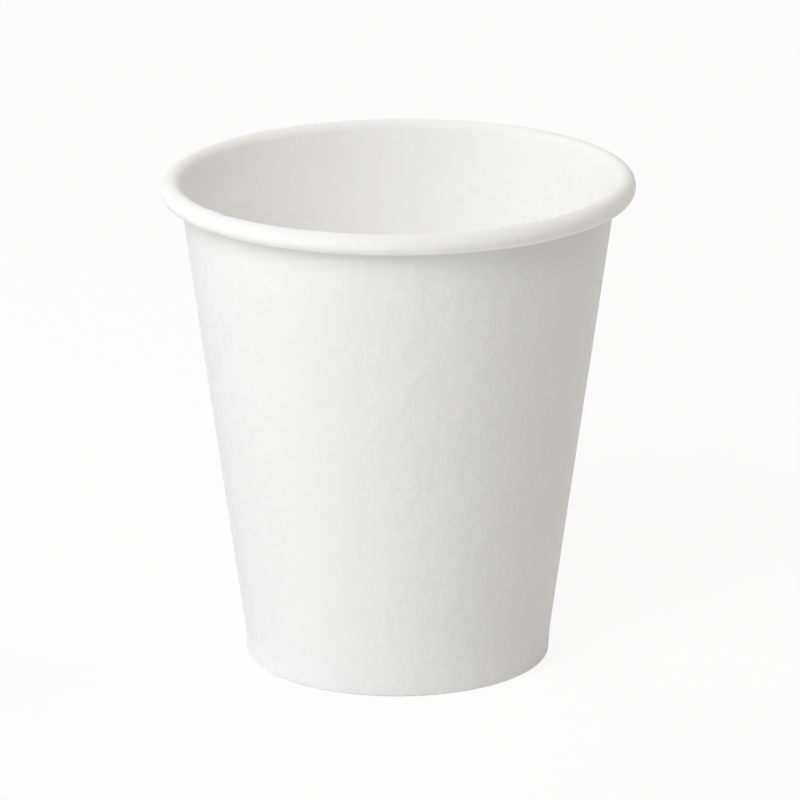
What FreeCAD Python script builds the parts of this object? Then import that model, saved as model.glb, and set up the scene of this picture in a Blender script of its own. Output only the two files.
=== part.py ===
"""Single-wall paper cup: a lapped and rolled sidewall, and a bottom held in its folded foot.

Millimetres, +Z up. The origin is the centre of the foot, on the surface that the cup stands on.
The front of the cup faces -Y and its right side faces +X.
"""
import FreeCAD, Part
import math
import os

# Overall size
rim_diameter = 90.0             # over the rolled rim
cup_height = 94.4               # from the foot to the top of the rolled rim
foot_diameter = 58.24           # over the foot, where its wall meets the ground plane

# Board
wall_board = 0.40               # thickness of the sidewall's board
bottom_board = 0.35             # thickness of the bottom's board
seal_film = 0.03                # heat-sealed film between two layers of board

# Rolled rim: radii over the drink side of the board, which is the outside of the roll
roll_radius = 2.07              # from the top of the roll round to its underside
roll_entry_radius = 1.85        # where the wall turns over into the roll
roll_gap = 0.06                 # air between the roll's tail and the turn outside it
roll_tail_turn = 125.0          # degrees that the tail curls past the underside

# Folded foot
foot_taper = 4.1                # degrees that the wall leans out beside the bottom's skirt
foot_band_height = 5.0          # height at which the wall starts to lean out further
knee_radius = 9.0               # soft bend there
fold_inner_radius = 0.05        # inside the two bends of the folded edge
fold_height = 5.6               # top of the folded edge, inside the foot

# Bottom
bottom_recess = 7.0             # underside of the bottom above the ground plane
skirt_bend_radius = 0.60        # over the bend from the bottom into its skirt
skirt_edge_gap = 0.30           # air between the skirt's edge and the fold below it

# Side seam
lap_width = 7.0                 # overlap of the blank's two side edges
seam_angle = 216.5              # direction of the seam, degrees from +X towards +Y
lap_rise = wall_board / 2       # each of the two layers steps out by half a board
lap_foot_gap = 0.40             # the lap's inner edge starts this far above the bottom


class Section:
    """Half section of folded board, traced along one of its faces.

    Each stretch is a line or an arc that starts in the direction in which the last one ended.
    A layer of board lies between two offsets to the left of that trace.
    """

    def __init__(self, radius, height, heading):
        self.stretches = []
        self.radius = radius
        self.height = height
        self.heading = heading

    def line(self, length):
        """Go straight on."""
        ahead = math.radians(self.heading)
        start = (self.radius, self.height, self.heading)
        self.radius += length * math.cos(ahead)
        self.height += length * math.sin(ahead)
        self.stretches.append((start, None, (self.radius, self.height, self.heading)))

    def arc(self, bend_radius, turn):
        """Turn by so many degrees: to the left if positive, to the right if negative."""
        side = math.copysign(bend_radius, turn)
        across = math.radians(self.heading + 90)
        centre = (self.radius + side * math.cos(across), self.height + side * math.sin(across))
        stations = []
        for share in (0, 0.5, 1):
            heading = self.heading + share * turn
            across = math.radians(heading + 90)
            stations.append((centre[0] - side * math.cos(across), centre[1] - side * math.sin(across), heading))
        self.stretches.append(tuple(stations))
        self.radius, self.height, self.heading = stations[2]

    def layer(self, low, high):
        """Face between two offsets to the left of the trace."""
        near = [self.edge(stretch, low) for stretch in self.stretches]
        far = [self.edge(stretch, high) for stretch in reversed(self.stretches)]
        start, end = self.stretches[0][0], self.stretches[-1][2]
        end_cut = Part.LineSegment(offset_point(end, low), offset_point(end, high)).toShape()
        start_cut = Part.LineSegment(offset_point(start, high), offset_point(start, low)).toShape()
        return Part.Face(Part.Wire(near + [end_cut] + far + [start_cut]))

    def edge(self, stretch, offset):
        """One stretch of the trace, moved to the left."""
        start, middle, end = stretch
        if middle is None:
            return Part.LineSegment(offset_point(start, offset), offset_point(end, offset)).toShape()
        return Part.Arc(*[offset_point(station, offset) for station in stretch]).toShape()


def offset_point(station, offset):
    """Point at an offset to the left of one station of a section."""
    radius, height, heading = station
    across = math.radians(heading + 90)
    return FreeCAD.Vector(radius + offset * math.cos(across), 0, height + offset * math.sin(across))


def turned(face):
    """Solid of revolution of a half section about the cup's axis."""
    return face.revolve(FreeCAD.Vector(0, 0, 0), FreeCAD.Vector(0, 0, 1), 360)


# Foot: the outer face of the wall leans out from the ground plane to the knee
lean = math.radians(foot_taper)
foot_radius = foot_diameter / 2
knee_r = foot_radius + foot_band_height * math.tan(lean)
fold_radius = fold_inner_radius + wall_board
upright = 90 - foot_taper
fold_thickness = 2 * wall_board + bottom_board + 2 * seal_film
fold_width = fold_thickness / math.cos(lean)
outer_bend_reach = fold_radius * math.tan(math.radians(90 - foot_taper) / 2)
inner_bend_reach = fold_radius * math.tan(math.radians(90 + foot_taper) / 2)

# Rim: the wall meets the roll's first arc without a kink, which sets the taper of the cup
roll_r = rim_diameter / 2 - roll_radius
entry_centre_z = cup_height - roll_entry_radius
to_roll_r = roll_r - knee_r
to_roll_z = entry_centre_z - foot_band_height
entry_bend = roll_entry_radius - wall_board
to_roll = math.hypot(to_roll_r, to_roll_z)
wall_taper = math.degrees(math.acos(entry_bend / to_roll) - math.atan2(to_roll_z, to_roll_r))
knee_turn = wall_taper - foot_taper
knee_reach = knee_radius * math.tan(math.radians(knee_turn) / 2)
band_length = foot_band_height / math.cos(lean) - outer_bend_reach - knee_reach
wall_length = math.sqrt(to_roll ** 2 - entry_bend ** 2) - knee_reach
tail_bend = roll_entry_radius - 2 * wall_board - roll_gap


def sidewall_section():
    """Whole board, from the folded edge inside the foot to the tail of the roll."""
    leg = fold_height / math.cos(lean)
    start_r = foot_radius - fold_width + leg * math.sin(lean)
    trace = Section(start_r, fold_height, -90 - foot_taper)
    trace.line(leg - inner_bend_reach)
    trace.arc(fold_radius, 90 + foot_taper)
    trace.line(fold_width - inner_bend_reach - outer_bend_reach)
    trace.arc(fold_radius, upright)
    trace.line(band_length)
    trace.arc(knee_radius, -knee_turn)
    trace.line(wall_length)
    trace.arc(entry_bend, wall_taper - 90)
    trace.arc(roll_radius - wall_board, -180)
    trace.arc(tail_bend, -roll_tail_turn)
    return trace.layer(0, wall_board)


def outer_lap_section():
    """Outer layer of the seam, from the foot up to the underside of the roll."""
    climb = outer_bend_reach * math.cos(lean)
    start_r = foot_radius + climb * math.tan(lean)
    under_roll = cup_height - 2 * roll_radius
    cone = (under_roll - foot_band_height) / math.cos(math.radians(wall_taper)) - knee_reach
    trace = Section(start_r, climb, upright)
    trace.line(band_length)
    trace.arc(knee_radius, -knee_turn)
    trace.line(cone)
    return trace.layer(-lap_rise, wall_board / 2)


def inner_lap_section():
    """Inner layer of the seam, from the bottom over the rim to the underside of the roll."""
    start_z = bottom_recess + bottom_board + lap_foot_gap
    climb = (start_z - foot_band_height) / math.cos(math.radians(wall_taper))
    start_r = knee_r + climb * math.sin(math.radians(wall_taper))
    trace = Section(start_r, start_z, 90 - wall_taper)
    trace.line(wall_length + knee_reach - climb)
    trace.arc(entry_bend, wall_taper - 90)
    trace.arc(roll_radius - wall_board, -180)
    return trace.layer(wall_board / 2, wall_board + lap_rise)


def make_sidewall():
    """Cone of board with its rolled rim, folded foot and lapped side seam."""
    lap_space = Part.makeBox(rim_diameter, lap_width, 2 * cup_height, FreeCAD.Vector(0, -lap_width / 2, -cup_height / 2))
    lap_space.rotate(FreeCAD.Vector(0, 0, 0), FreeCAD.Vector(0, 0, 1), seam_angle)
    layers = [turned(section).common(lap_space) for section in (outer_lap_section(), inner_lap_section())]
    return turned(sidewall_section()).fuse(layers)


def make_bottom():
    """Round bottom with its skirt turned down between the wall and the folded edge."""
    skirt_foot = wall_board + skirt_edge_gap
    wall_inside = (wall_board + seal_film) / math.cos(lean)
    start_r = foot_radius + skirt_foot * math.tan(lean) - wall_inside
    top_z = bottom_recess + bottom_board
    bend_reach = skirt_bend_radius * math.tan(math.radians(90 + foot_taper) / 2)
    trace = Section(start_r, skirt_foot, upright)
    trace.line((top_z - skirt_foot) / math.cos(lean) - bend_reach)
    trace.arc(skirt_bend_radius, 90 + foot_taper)
    trace.line(trace.radius)
    return turned(trace.layer(0, bottom_board))


parts = {
    "sidewall": make_sidewall(),
    "bottom_disc": make_bottom(),
}

os.makedirs("parts", exist_ok=True)
for name, shape in parts.items():
    solid = shape.Solids[0] if len(shape.Solids) == 1 else shape
    print(name, "solids", len(shape.Solids), "valid", shape.isValid(), "volume", round(shape.Volume, 2))
    box = shape.BoundBox
    print(" x", round(box.XMin, 3), round(box.XMax, 3), "y", round(box.YMin, 3), round(box.YMax, 3),
          "z", round(box.ZMin, 3), round(box.ZMax, 3))
    solid.exportStep(os.path.join("parts", name + ".step"))
print("wall taper", round(wall_taper, 3))
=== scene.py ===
"""A single-wall paper cup on a white ground: its folded board, its finishes and the picture's light.

The sizes, colours and lamps that a user would change are in the panel's property groups.
Lengths are in metres. The cup stands on the ground plane, with its front towards -Y.
"""
import math

import bpy
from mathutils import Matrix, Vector, noise


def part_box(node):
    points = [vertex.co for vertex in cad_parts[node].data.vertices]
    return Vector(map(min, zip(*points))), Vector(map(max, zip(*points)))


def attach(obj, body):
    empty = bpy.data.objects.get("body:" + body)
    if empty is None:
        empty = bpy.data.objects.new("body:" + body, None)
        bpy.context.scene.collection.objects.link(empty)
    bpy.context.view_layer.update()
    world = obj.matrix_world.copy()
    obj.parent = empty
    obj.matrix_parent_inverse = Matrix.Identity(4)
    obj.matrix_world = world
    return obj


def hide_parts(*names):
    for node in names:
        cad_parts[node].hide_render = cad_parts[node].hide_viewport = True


bl_info = {
    "name": "Paper Cup",
    "version": (1, 0, 0),
    "blender": (4, 5, 0),
    "location": "View3D > Sidebar > Paper Cup",
    "description": "Models a lapped, rolled and folded paper cup and the light that it is pictured in",
    "category": "Add Mesh",
}

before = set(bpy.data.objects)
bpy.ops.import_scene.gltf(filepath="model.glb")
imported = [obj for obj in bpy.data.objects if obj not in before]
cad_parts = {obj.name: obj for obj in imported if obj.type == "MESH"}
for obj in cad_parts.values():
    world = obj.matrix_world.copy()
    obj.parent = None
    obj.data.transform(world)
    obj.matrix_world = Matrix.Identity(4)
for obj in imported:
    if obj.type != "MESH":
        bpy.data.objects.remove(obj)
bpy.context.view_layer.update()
wall_low, wall_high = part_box("sidewall")
disc_low, disc_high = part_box("bottom_disc")

MM = 0.001
QUARTER = math.pi / 2
LAP_RISE = 0.2 * MM          # the seam's lap stands this far above the rest of the rim


def length_property(name, description, default):
    """A size in metres, shown to a hundredth of a millimetre."""
    return bpy.props.FloatProperty(
        name=name, description=description, default=default, unit="LENGTH", precision=5)


def power_property(name, description, default):
    """The power of one lamp, in watts."""
    return bpy.props.FloatProperty(name=name, description=description, default=default, unit="POWER")


# Sizes, colours and light

class CupShape(bpy.types.PropertyGroup):
    """Sizes of the board and of its rolled rim, folded foot, seam and bottom."""

    rim_radius: length_property("Rim radius", "Over the rolled rim", wall_high.x)
    height: length_property("Height", "From the foot to the top of the roll", wall_high.z - LAP_RISE)
    board: length_property("Wall board", "Thickness of the sidewall's board", 0.4 * MM)
    bottom_board: length_property("Bottom board", "Thickness of the bottom's board", 0.35 * MM)
    film: length_property("Seal film", "Heat-sealed film between two layers of board", 0.03 * MM)
    roll_radius: length_property("Roll", "Radius over the outer turn of the rim's roll", 2.07 * MM)
    entry_radius: length_property("Roll entry", "Radius where the wall turns over into the roll", 1.85 * MM)
    roll_gap: length_property("Roll gap", "Air between the roll's tail and the turn outside it", 0.06 * MM)
    foot_radius: length_property("Foot radius", "Outside of the wall at the ground plane", 29.12 * MM)
    band_height: length_property("Foot band", "Height of the steeper band at the foot", 5.0 * MM)
    fold_height: length_property("Fold", "Height of the folded edge inside the foot", 5.6 * MM)
    lap_width: length_property("Seam lap", "Overlap of the blank's two side edges", 7.0 * MM)
    band_taper: bpy.props.FloatProperty(
        name="Band taper", description="Lean of the foot band", default=math.radians(4.1), subtype="ANGLE")
    seam_angle: bpy.props.FloatProperty(
        name="Seam direction", description="Direction of the seam, from +X towards +Y",
        default=math.radians(216.5), subtype="ANGLE")
    rim_slant: bpy.props.FloatProperty(
        name="Rim slant", description="How far the rim is out of level, higher at +X",
        default=math.radians(0.55), subtype="ANGLE")


class CupFinish(bpy.types.PropertyGroup):
    """Colours and grain of the board."""

    board_white: bpy.props.FloatVectorProperty(
        name="Board", description="Uncoated outside of the board", subtype="COLOR", size=3,
        min=0, max=1, default=(0.897, 0.897, 0.895))
    coated_white: bpy.props.FloatVectorProperty(
        name="Coated board", description="Drink side of the board", subtype="COLOR", size=3,
        min=0, max=1, default=(0.966, 0.965, 0.959))
    cut_white: bpy.props.FloatVectorProperty(
        name="Cut edge", description="Raw edge of the board", subtype="COLOR", size=3,
        min=0, max=1, default=(0.80, 0.785, 0.75))
    grain: length_property("Grain", "Depth of the board's mottled grain", 0.2 * MM)


class CupStage(bpy.types.PropertyGroup):
    """Light and camera of the picture."""

    key: power_property("Key", "Soft light at the front left", 10.1)
    front: power_property("Front", "Wide light at the front left", 4.2)
    left: power_property("Left", "Wide light at the left", 6.5)
    rear: power_property("Rear", "Soft light behind at the left", 4.5)
    right: power_property("Right", "Soft light at the right", 8.45)
    lens: bpy.props.FloatProperty(
        name="Lens", description="Focal length of the camera", default=264.7, unit="CAMERA")
    distance: length_property("Distance", "From the camera to the cup's axis", 1126 * MM)
    elevation: bpy.props.FloatProperty(
        name="Elevation", description="How far the camera looks down",
        default=math.radians(16.88), subtype="ANGLE")


# The board's half section

FOLD_BEND = 0.05 * MM        # inside the two bends of the folded foot
KNEE_BEND = 9.0 * MM         # where the wall starts to lean out further
TAIL_TURN = math.radians(125)    # the roll's tail curls this far past the underside
SKIRT_BEND = 0.6 * MM        # over the bend from the bottom into its skirt


class BoardTrace:
    """Points along one face of a folded sheet, each with the direction to the sheet's drink side."""

    def __init__(self, radius, height, heading):
        self.place = Vector((radius, height))
        self.heading = heading
        self.stations = []
        self.roll_start = 0
        self.note()

    def across(self):
        return Vector((-math.sin(self.heading), math.cos(self.heading)))

    def note(self):
        self.stations.append((self.place.copy(), self.across()))

    def line(self, length, steps):
        step = Vector((math.cos(self.heading), math.sin(self.heading))) * (length / steps)
        for _ in range(steps):
            self.place = self.place + step
            self.note()

    def arc(self, bend_radius, turn, steps):
        side = math.copysign(bend_radius, turn)
        centre = self.place + self.across() * side
        for _ in range(steps):
            self.heading += turn / steps
            self.place = centre - self.across() * side
            self.note()


def trace_sidewall(shape):
    """Outer face of the sidewall's board, from the fold inside the foot to the tail of the roll."""
    board = shape.board
    lean = shape.band_taper
    fold_bend = board + FOLD_BEND
    fold_width = (2 * board + shape.bottom_board + 2 * shape.film) / math.cos(lean)
    inner_reach = fold_bend * math.tan((QUARTER + lean) / 2)
    outer_reach = fold_bend * math.tan((QUARTER - lean) / 2)
    knee = Vector((shape.foot_radius + shape.band_height * math.tan(lean), shape.band_height))
    entry_bend = shape.entry_radius - board
    to_roll = Vector((shape.rim_radius - shape.roll_radius, shape.height - shape.entry_radius)) - knee
    taper = math.acos(entry_bend / to_roll.length) - math.atan2(to_roll.y, to_roll.x)
    knee_reach = KNEE_BEND * math.tan((taper - lean) / 2)
    leg = shape.fold_height / math.cos(lean)
    start = shape.foot_radius - fold_width + leg * math.sin(lean)
    trace = BoardTrace(start, shape.fold_height, -QUARTER - lean)
    trace.line(leg - inner_reach, 5)
    trace.arc(fold_bend, QUARTER + lean, 5)
    trace.line(fold_width - inner_reach - outer_reach, 1)
    trace.arc(fold_bend, QUARTER - lean, 5)
    trace.line(knee.y / math.cos(lean) - outer_reach - knee_reach, 4)
    trace.arc(KNEE_BEND, lean - taper, 3)
    trace.line(math.sqrt(to_roll.length_squared - entry_bend ** 2) - knee_reach, 18)
    trace.arc(entry_bend, taper - QUARTER, 8)
    trace.roll_start = len(trace.stations)
    trace.arc(shape.roll_radius - board, -2 * QUARTER, 18)
    trace.arc(shape.entry_radius - 2 * board - shape.roll_gap, -TAIL_TURN, 9)
    return trace


def trace_bottom(shape):
    """Top face of the bottom, from the lower edge of its skirt up and over the bend."""
    lean = shape.band_taper
    skirt_foot = disc_low.z
    start = shape.foot_radius + skirt_foot * math.tan(lean) - (shape.board + shape.film) / math.cos(lean)
    trace = BoardTrace(start, skirt_foot, QUARTER - lean)
    bend_reach = SKIRT_BEND * math.tan((QUARTER + lean) / 2)
    trace.line((disc_high.z - skirt_foot) / math.cos(lean) - bend_reach, 5)
    trace.arc(SKIRT_BEND, QUARTER + lean, 6)
    return trace


# Modelling steps that the pieces share

def make_active(piece):
    """Selects one piece alone, in object mode."""
    if bpy.context.object and bpy.context.object.mode != "OBJECT":
        bpy.ops.object.mode_set(mode="OBJECT")
    bpy.ops.object.select_all(action="DESELECT")
    if piece:
        piece.select_set(True)
        bpy.context.view_layer.objects.active = piece


def apply_modifier(piece, kind, **settings):
    """Adds a modifier with these settings and applies it."""
    make_active(piece)
    modifier = piece.modifiers.new(kind.title(), kind)
    for name, value in settings.items():
        setattr(modifier, name, value)
    bpy.ops.object.modifier_apply(modifier=modifier.name)


def face_normals(piece, probe, towards):
    """Makes all normals agree, with those of the face nearest the probe point turned towards a direction."""
    make_active(piece)
    bpy.ops.object.mode_set(mode="EDIT")
    bpy.ops.mesh.select_all(action="SELECT")
    bpy.ops.mesh.normals_make_consistent(inside=False)
    bpy.ops.object.mode_set(mode="OBJECT")
    nearest = min(piece.data.polygons, key=lambda face: (face.center - probe).length)
    if nearest.normal.dot(towards) < 0:
        bpy.ops.object.mode_set(mode="EDIT")
        bpy.ops.mesh.flip_normals()
        bpy.ops.object.mode_set(mode="OBJECT")


def finish_piece(piece, node):
    """Smooths a finished piece, rides it on the cup and lets it stand for its CAD node."""
    make_active(piece)
    bpy.ops.object.shade_smooth_by_angle(angle=math.radians(35))
    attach(piece, "root")
    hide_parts(node)


def soft_step(value):
    value = min(max(value, 0), 1)
    return value * value * (3 - 2 * value)


# The sidewall

TURN_STEPS = 480             # columns of the blank once round the cup
SEAM_DENSITY = 0.5           # the columns are this much closer at the seam, and wider apart opposite it
RAMP_WIDTH = 2.2 * MM        # the board steps over the lap within this width
LAP_FILM = 0.01 * MM         # between the two layers of the lap
PRESSED_SHARE = 0.6          # thickness of the board where the lap is pressed into the foot and the roll
PRESSED_EDGE = 0.08          # and at the lap's free edges there
EDGE_EASE = 3 * MM           # the pressed board thins down to its free edge within this width
FOOT_PRESS = 1.5 * MM        # the lap is fully pressed up to this height
FOOT_EASE = 3 * MM           # and comes out of the press within this height
ROLL_EASE = 4 * MM           # and goes into it again over this height below the roll
SEAM_DROOP = 0.15 * MM       # the roll hangs this much lower at the outer layer's free edge
DROOP_RAMP = 1.2 * MM        # it comes down to there within this width
ROLL_TRIM = (
    # degrees from the front towards +X, and how far the roll's underside is lifted there
    (-180, 0), (-90, 0.15 * MM), (-45, 0.34 * MM), (0, 0.28 * MM),
    (40, 0), (75, -0.22 * MM), (130, 0), (180, 0),
)
RIBS = 96                    # pressed into the fold inside the foot
RIB_ROWS = 5                 # rows of the blank that they reach over
RIB_DEPTH = 0.12 * MM        # at the deepest
WALL_WAVE = 0.04 * MM        # the formed wall is this uneven
WAVE_COUNT = 28              # waves in a metre
WALL_SLOPE = math.tan(math.radians(7.8))    # lean of the wall


def draw_section(points):
    """A chain of edges along the board's half section, extruded point by point and left in edit mode."""
    make_active(None)
    bpy.ops.mesh.primitive_plane_add(size=MM, location=(0, 0, 0))
    piece = bpy.context.object
    bpy.ops.object.mode_set(mode="EDIT")
    bpy.ops.mesh.select_all(action="SELECT")
    bpy.ops.mesh.merge(type="CENTER")
    bpy.ops.transform.translate(value=(points[0].x, 0, points[0].y))
    for last, point in zip(points, points[1:]):
        step = point - last
        bpy.ops.mesh.extrude_region_move(TRANSFORM_OT_translate={"value": (step.x, 0, step.y)})
    return piece


def wrap_section(piece):
    """Spins the section into a blank that stops one column short of meeting itself."""
    bpy.ops.mesh.select_all(action="SELECT")
    bpy.ops.mesh.spin(
        steps=TURN_STEPS, angle=2 * math.pi * TURN_STEPS / (TURN_STEPS + 1),
        center=(0, 0, 0), axis=(0, 0, -1), use_auto_merge=False)
    bpy.ops.object.mode_set(mode="OBJECT")


def blank_places(piece, points):
    """Column and row of each vertex of the blank: the spin keeps the first column's order in all of them."""
    rows = len(points)
    order = []
    for vertex in piece.data.vertices[:rows]:
        place = Vector((vertex.co.x, vertex.co.z))
        order.append(min(range(rows), key=lambda row: (points[row] - place).length))
    if sorted(order) != list(range(rows)) or len(piece.data.vertices) != rows * (TURN_STEPS + 1):
        raise RuntimeError("the spun blank isn't a whole grid of columns and rows")
    return [(vertex.index // rows, order[vertex.index % rows]) for vertex in piece.data.vertices]


def pressing(height, shape):
    """How far the lap is pressed together: fully in the folded foot and in the roll, not at all between."""
    under_roll = shape.height - 2 * shape.roll_radius
    at_foot = 1 - soft_step((height - FOOT_PRESS) / FOOT_EASE)
    at_roll = soft_step((height - under_roll + ROLL_EASE) / ROLL_EASE)
    return max(at_foot, at_roll)


def layer_share(free, lap_width, pressed):
    """Thickness of one layer, as a share of the board's, at a distance from its free edge."""
    squeezed = PRESSED_EDGE + (PRESSED_SHARE - PRESSED_EDGE) * soft_step(free / EDGE_EASE)
    in_lap = 1 - soft_step((free - lap_width) / RAMP_WIDTH)
    return 1 - (1 - squeezed) * in_lap * pressed


def seam_droop(free, lap_width):
    """How far the roll's underside hangs down, at a distance from the outer layer's free edge."""
    return SEAM_DROOP * (soft_step(1 + free / DROOP_RAMP) if free < 0 else max(0, 1 - free / lap_width))


def roll_trim(angle):
    """How far the roll's underside is lifted in one direction, which is given from +X towards +Y."""
    degrees = (math.degrees(angle) + 270) % 360 - 180
    for (low, first), (high, second) in zip(ROLL_TRIM, ROLL_TRIM[1:]):
        if degrees <= high:
            return first + (second - first) * soft_step((degrees - low) / (high - low))


def lay_blank(piece, trace, places, shape):
    """Closes the blank with a lap of the same width at every height, and presses ribs into its fold.

    The columns run from the outer layer's free edge once round the cup to the inner layer's.
    Returns each vertex's thickness, as a share of the board's.
    """
    half_lap = shape.lap_width / 2
    slant = math.tan(shape.rim_slant)
    shares = []
    for vertex, (column, row) in zip(piece.data.vertices, places):
        place, across = trace.stations[row]
        middle = place + across * (shape.board / 2)
        lap_turn = math.asin(half_lap / middle.x)
        pressed = pressing(middle.y, shape)
        along = column / TURN_STEPS
        along -= SEAM_DENSITY * math.sin(2 * math.pi * along) / (2 * math.pi)
        turn = along * (2 * math.pi + 2 * lap_turn) - lap_turn
        outer_free = middle.x * (turn + lap_turn)
        inner_free = middle.x * (2 * math.pi + lap_turn - turn)
        if outer_free < inner_free:
            other_share = layer_share(shape.lap_width - outer_free, shape.lap_width, pressed)
            share = layer_share(outer_free, shape.lap_width, pressed)
            lift = -(1 - soft_step((outer_free - shape.lap_width) / RAMP_WIDTH))
            from_seam = outer_free
        else:
            other_share = layer_share(shape.lap_width - inner_free, shape.lap_width, pressed)
            share = layer_share(inner_free, shape.lap_width, pressed)
            lift = 1 - soft_step((inner_free - shape.lap_width) / RAMP_WIDTH)
            from_seam = shape.lap_width - inner_free
        shares.append(share)
        middle = middle + across * (lift * (other_share * shape.board + LAP_FILM) / 2)
        angle = shape.seam_angle + turn
        if row < RIB_ROWS:
            middle.x -= RIB_DEPTH * (0.5 + 0.5 * math.cos(RIBS * turn)) * (1 - abs(row - 2) / 3)
        if row >= trace.roll_start:
            below = soft_step((shape.height - shape.roll_radius / 2 - middle.y) / shape.roll_radius)
            middle.y += below * (roll_trim(angle) - seam_droop(from_seam, shape.lap_width))
        point = Vector((middle.x * math.cos(angle), middle.x * math.sin(angle), middle.y))
        up = middle.y / shape.height
        uneven = noise.noise(Vector((point.x, point.y, point.z * 0.6)) * WAVE_COUNT)
        wave = uneven * WALL_WAVE * soft_step(up * 8 - 1)
        rise = point.x * slant * soft_step((up - 0.2) / 0.8)
        outward = wave + rise * WALL_SLOPE
        vertex.co = point + Vector((outward * math.cos(angle), outward * math.sin(angle), rise))
    return shares


class CUP_OT_sidewall(bpy.types.Operator):
    """Models the sidewall: a blank wrapped into a lapped cone, rolled at the rim and folded at the foot"""

    bl_idname = "cup.sidewall"
    bl_label = "Sidewall"

    def execute(self, context):
        shape = context.scene.cup_shape
        trace = trace_sidewall(shape)
        points = [place + across * (shape.board / 2) for place, across in trace.stations]
        piece = draw_section(points)
        piece.name = "Sidewall"
        wrap_section(piece)
        places = blank_places(piece, points)
        shares = lay_blank(piece, trace, places, shape)
        layer = piece.vertex_groups.new(name="board")
        for index, share in enumerate(shares):
            layer.add([index], share, "REPLACE")
        half_way = shape.height / 2
        face_normals(piece, Vector((wall_high.x * 0.8, 0, half_way)), Vector((1, 0, 0)))
        finish = context.scene.cup_finish
        for material in (plain_board(finish), coated_board(finish), cut_board(finish)):
            piece.data.materials.append(material)
        apply_modifier(
            piece, "SOLIDIFY", thickness=shape.board, offset=0, use_even_offset=True,
            use_quality_normals=True, vertex_group="board", material_offset=1, material_offset_rim=2)
        finish_piece(piece, "sidewall")
        return {"FINISHED"}


# The bottom

BOTTOM_SIDES = 256           # corners of the round bottom
BOTTOM_RINGS = 7             # rings of faces in it
BOTTOM_DIP = 0.12 * MM       # the middle of the bottom sags this far


class CUP_OT_bottom(bpy.types.Operator):
    """Models the bottom: a disc with its edge turned down into a skirt"""

    bl_idname = "cup.bottom"
    bl_label = "Bottom"

    def execute(self, context):
        shape = context.scene.cup_shape
        skirt = [place for place, across in trace_bottom(shape).stations]
        edge = skirt.pop()
        make_active(None)
        bpy.ops.mesh.primitive_circle_add(
            vertices=BOTTOM_SIDES, radius=edge.x, fill_type="NGON", location=(0, 0, edge.y))
        piece = context.object
        piece.name = "Bottom"
        bpy.ops.object.transform_apply(location=True, rotation=False, scale=False)
        bpy.ops.object.mode_set(mode="EDIT")
        bpy.ops.mesh.select_mode(type="FACE")
        bpy.ops.mesh.select_all(action="SELECT")
        for _ in range(BOTTOM_RINGS):
            bpy.ops.mesh.inset(thickness=edge.x / (BOTTOM_RINGS + 1))
            bpy.ops.transform.translate(value=(0, 0, -BOTTOM_DIP / BOTTOM_RINGS))
        bpy.ops.mesh.select_mode(type="EDGE")
        bpy.ops.mesh.select_all(action="DESELECT")
        bpy.ops.mesh.select_non_manifold(extend=False, use_wire=False, use_multi_face=False,
                                         use_non_contiguous=False, use_verts=False)
        for place in reversed(skirt):
            bpy.ops.mesh.extrude_edges_move(TRANSFORM_OT_translate={"value": (0, 0, place.y - edge.y)})
            ratio = place.x / edge.x
            bpy.ops.transform.resize(value=(ratio, ratio, 1), center_override=(0, 0, 0))
            edge = place
        bpy.ops.object.mode_set(mode="OBJECT")
        face_normals(piece, Vector((0, 0, disc_high.z)), Vector((0, 0, 1)))
        finish = context.scene.cup_finish
        for material in (coated_board(finish), plain_board(finish), cut_board(finish)):
            piece.data.materials.append(material)
        apply_modifier(
            piece, "SOLIDIFY", thickness=shape.bottom_board, offset=-1, use_even_offset=True,
            material_offset=1, material_offset_rim=2)
        finish_piece(piece, "bottom_disc")
        return {"FINISHED"}


# Finishes

class Finish:
    """A material with short calls for its nodes."""

    def __init__(self, name):
        self.material = bpy.data.materials.new(name)
        self.material.use_nodes = True
        self.tree = self.material.node_tree
        self.shader = self.tree.nodes["Principled BSDF"]

    def node(self, kind, inputs=None, **settings):
        """Adds a node; an input is given a number or colour, or another node's output."""
        made = self.tree.nodes.new(kind)
        for name, value in settings.items():
            setattr(made, name, value)
        for key, value in (inputs or {}).items():
            if isinstance(value, bpy.types.NodeSocket):
                self.tree.links.new(value, made.inputs[key])
            else:
                made.inputs[key].default_value = value
        return made

    def noise_at(self, size, stretch=(1, 1, 1), detail=2, roughness=0.5):
        """Noise with blobs of about one size, in metres, on the object's own coordinates."""
        coordinates = self.node("ShaderNodeTexCoord").outputs["Object"]
        mapping = self.node("ShaderNodeMapping", {"Vector": coordinates, "Scale": stretch})
        return self.node("ShaderNodeTexNoise", {
            "Vector": mapping.outputs["Vector"], "Scale": 1 / size, "Detail": detail, "Roughness": roughness,
        }).outputs["Fac"]

    def mix(self, factor, first, second):
        """Colour between two, by a factor."""
        made = self.node("ShaderNodeMix", data_type="RGBA")
        self.tree.links.new(factor, made.inputs["Factor"])
        made.inputs["A"].default_value = (*first, 1)
        made.inputs["B"].default_value = (*second, 1)
        return made.outputs["Result"]

    def times(self, first, second):
        """Two values multiplied."""
        return self.node("ShaderNodeMath", {0: first, 1: second}, operation="MULTIPLY").outputs[0]

    def add(self, first, second, share):
        """First value plus a share of the second."""
        scaled = self.times(second, share)
        return self.node("ShaderNodeMath", {0: first, 1: scaled}, operation="ADD").outputs[0]

    def bump(self, height, depth):
        made = self.node("ShaderNodeBump", {"Height": height, "Distance": depth, "Strength": 1.0})
        self.tree.links.new(made.outputs["Normal"], self.shader.inputs["Normal"])

    def colour(self, output):
        self.tree.links.new(output, self.shader.inputs["Base Color"])

    def roughness(self, factor, low, high):
        made = self.node("ShaderNodeMapRange", {"Value": factor, "To Min": low, "To Max": high})
        self.tree.links.new(made.outputs["Result"], self.shader.inputs["Roughness"])


def shade(colour, share):
    return tuple(part * share for part in colour)


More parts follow.
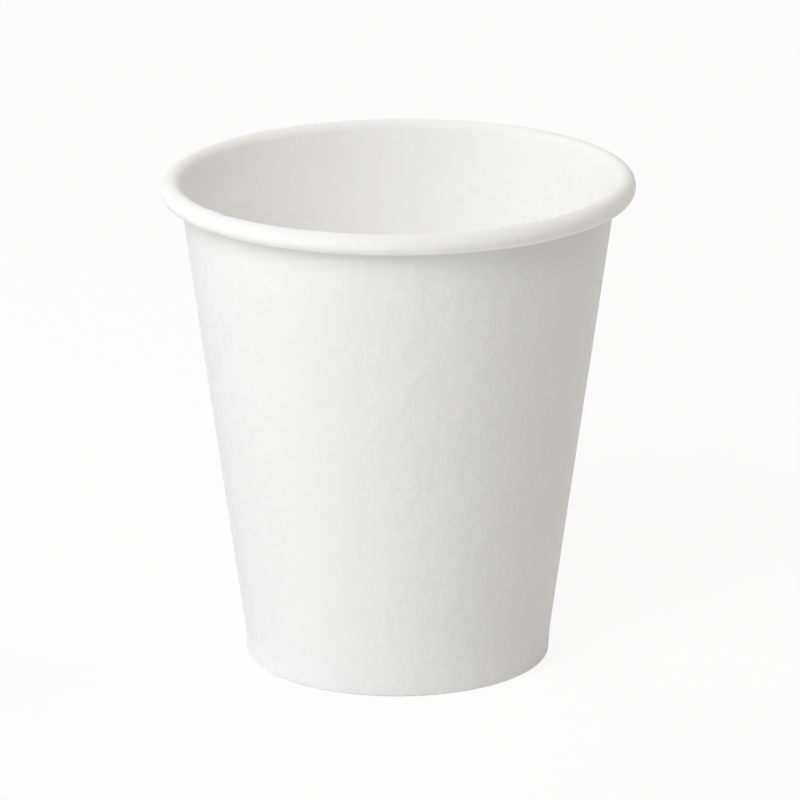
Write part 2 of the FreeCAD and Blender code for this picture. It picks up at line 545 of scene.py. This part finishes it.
def plain_board(finish):
    """Uncoated board: matte, with the uneven mottle of its pulp and fine fibres along the cup."""
    made = Finish("plain board")
    cloud = made.noise_at(14 * MM)
    lump = made.noise_at(4.6 * MM, detail=1)
    mottle = made.noise_at(2.1 * MM, detail=2, roughness=0.5)
    uneven = made.times(mottle, made.add(cloud, cloud, 1))
    fibre = made.noise_at(0.42 * MM, stretch=(1, 1, 0.35), detail=2)
    tone = made.add(made.times(cloud, 0.5), mottle, 0.8)
    made.colour(made.mix(tone, shade(finish.board_white, 0.985), shade(finish.board_white, 1.01)))
    made.bump(made.add(made.add(uneven, lump, 1.2), fibre, 0.12), finish.grain)
    made.roughness(mottle, 0.78, 0.9)
    made.shader.inputs["Specular IOR Level"].default_value = 0.12
    return made.material


def coated_board(finish):
    """Coated board: the same pulp under a thin smooth film that evens out its grain."""
    made = Finish("coated board")
    cloud = made.noise_at(17 * MM)
    lump = made.noise_at(5.2 * MM, detail=1)
    mottle = made.noise_at(2.2 * MM, detail=2)
    tone = made.add(made.times(cloud, 0.5), mottle, 0.8)
    made.colour(made.mix(tone, shade(finish.coated_white, 0.988), shade(finish.coated_white, 1.008)))
    made.bump(made.add(mottle, lump, 1.2), finish.grain * 0.8)
    made.roughness(mottle, 0.6, 0.7)
    made.shader.inputs["Specular IOR Level"].default_value = 0.14
    return made.material


def cut_board(finish):
    """Raw cut edge of the board: a little warmer, with its layers of fibre showing."""
    made = Finish("cut board")
    fibre = made.noise_at(0.3 * MM, stretch=(0.3, 0.3, 1), detail=3)
    made.colour(made.mix(fibre, shade(finish.cut_white, 0.94), shade(finish.cut_white, 1.04)))
    made.bump(fibre, finish.grain)
    made.roughness(fibre, 0.85, 0.95)
    return made.material


# Stage

FLOOR_REACH = 6.0            # metres across the ground
LAMP_REACH = 1.4             # metres from the cup to each lamp
LAMPS = {
    # direction from the front towards +X, angle above the ground plane, width in metres and tint
    "key": (-30, 40, 0.8, (1.0, 1.0, 1.0)),
    "front": (-30, 30, 1.6, (1.0, 1.0, 0.98)),
    "left": (-90, 30, 1.6, (0.95, 0.965, 1.0)),
    "rear": (-150, 40, 0.8, (1.0, 0.98, 0.935)),
    "right": (107, 40, 1.2, (1.0, 0.975, 0.92)),
}
AIM = Vector((0, 0, 50 * MM))    # the lamps face this, and the camera's distance is measured from it
CAMERA_AIM = Vector((0.43 * MM, 0, 49.85 * MM))
GROUND_GLOW = 0.9            # share of pure white in the seen ground


def place_lamp(name, power, azimuth, elevation, width, tint):
    """A square soft lamp that faces the cup."""
    a, e = math.radians(azimuth), math.radians(elevation)
    back = Vector((math.sin(a) * math.cos(e), -math.cos(a) * math.cos(e), math.sin(e)))
    bpy.ops.object.light_add(type="AREA", location=AIM + back * LAMP_REACH)
    lamp = bpy.context.object
    lamp.name = name.title() + " lamp"
    lamp.rotation_euler = (-back).to_track_quat("-Z", "Y").to_euler()
    lamp.data.shape = "SQUARE"
    lamp.data.size = width
    lamp.data.color = tint
    lamp.data.energy = power


def seen_rays(tree):
    """1 for the rays that show the stage to the camera, straight or by a gloss, and 0 for the rest."""
    path = tree.nodes.new("ShaderNodeLightPath")
    seen = path.outputs["Is Camera Ray"]
    for name in ("Is Glossy Ray", "Is Transmission Ray"):
        either = tree.nodes.new("ShaderNodeMath")
        either.operation = "MAXIMUM"
        tree.links.new(seen, either.inputs[0])
        tree.links.new(path.outputs[name], either.inputs[1])
        seen = either.outputs[0]
    return seen


def ground_material():
    """White ground: plain matte to the light, and evened out with pure white where it is seen."""
    made = Finish("white ground")
    made.shader.inputs["Base Color"].default_value = (0.9, 0.9, 0.9, 1)
    made.shader.inputs["Roughness"].default_value = 0.9
    made.shader.inputs["Specular IOR Level"].default_value = 0.1
    share = made.times(seen_rays(made.tree), GROUND_GLOW)
    white = made.node("ShaderNodeEmission", {"Color": (1, 1, 1, 1), "Strength": 1.0})
    mixed = made.node("ShaderNodeMixShader", {0: share})
    made.tree.links.new(made.shader.outputs[0], mixed.inputs[1])
    made.tree.links.new(white.outputs[0], mixed.inputs[2])
    made.tree.links.new(mixed.outputs[0], made.tree.nodes["Material Output"].inputs["Surface"])
    return made.material


def white_surround():
    """World that is pure white where it is seen, and gives the cup no light of its own."""
    world = bpy.data.worlds.new("White surround")
    bpy.context.scene.world = world
    world.use_nodes = True
    tree = world.node_tree
    background = tree.nodes["Background"]
    background.inputs["Color"].default_value = (1, 1, 1, 1)
    tree.links.new(seen_rays(tree), background.inputs["Strength"])


class CUP_OT_stage(bpy.types.Operator):
    """Sets up the white ground, the lamps and the camera"""

    bl_idname = "cup.stage"
    bl_label = "Stage"

    def execute(self, context):
        stage = context.scene.cup_stage
        make_active(None)
        bpy.ops.mesh.primitive_plane_add(size=FLOOR_REACH, location=(0, 0, 0))
        ground = context.object
        ground.name = "Ground"
        ground.data.materials.append(ground_material())
        for name, placing in LAMPS.items():
            place_lamp(name, getattr(stage, name), *placing)
        white_surround()
        e = stage.elevation
        bpy.ops.object.camera_add(location=AIM + Vector((0, -math.cos(e), math.sin(e))) * stage.distance)
        camera = context.object
        camera.name = "Camera"
        camera.rotation_euler = (CAMERA_AIM - camera.location).to_track_quat("-Z", "Y").to_euler()
        camera.data.lens = stage.lens
        context.scene.camera = camera
        context.scene.view_settings.view_transform = "Standard"
        return {"FINISHED"}


# Panel and registration

class CUP_PT_panel(bpy.types.Panel):
    """The cup's sizes, finishes and stage"""

    bl_idname = "CUP_PT_panel"
    bl_label = "Paper Cup"
    bl_space_type = "VIEW_3D"
    bl_region_type = "UI"
    bl_category = "Paper Cup"

    def draw(self, context):
        scene = context.scene
        for title, group, operators in (
            ("Shape", scene.cup_shape, (CUP_OT_sidewall, CUP_OT_bottom)),
            ("Finish", scene.cup_finish, ()),
            ("Stage", scene.cup_stage, (CUP_OT_stage,)),
        ):
            box = self.layout.box()
            box.label(text=title)
            for name in group.__annotations__:
                box.prop(group, name)
            for operator in operators:
                box.operator(operator.bl_idname)


CLASSES = (CupShape, CupFinish, CupStage, CUP_OT_sidewall, CUP_OT_bottom, CUP_OT_stage, CUP_PT_panel)
GROUPS = {"cup_shape": CupShape, "cup_finish": CupFinish, "cup_stage": CupStage}


def register():
    for made in CLASSES:
        bpy.utils.register_class(made)
    for name, group in GROUPS.items():
        setattr(bpy.types.Scene, name, bpy.props.PointerProperty(type=group))


def unregister():
    for name in GROUPS:
        delattr(bpy.types.Scene, name)
    for made in reversed(CLASSES):
        bpy.utils.unregister_class(made)


def main():
    """Makes the whole picture."""
    register()
    bpy.ops.cup.stage()
    bpy.ops.cup.sidewall()
    bpy.ops.cup.bottom()


if __name__ == "__main__":
    main()
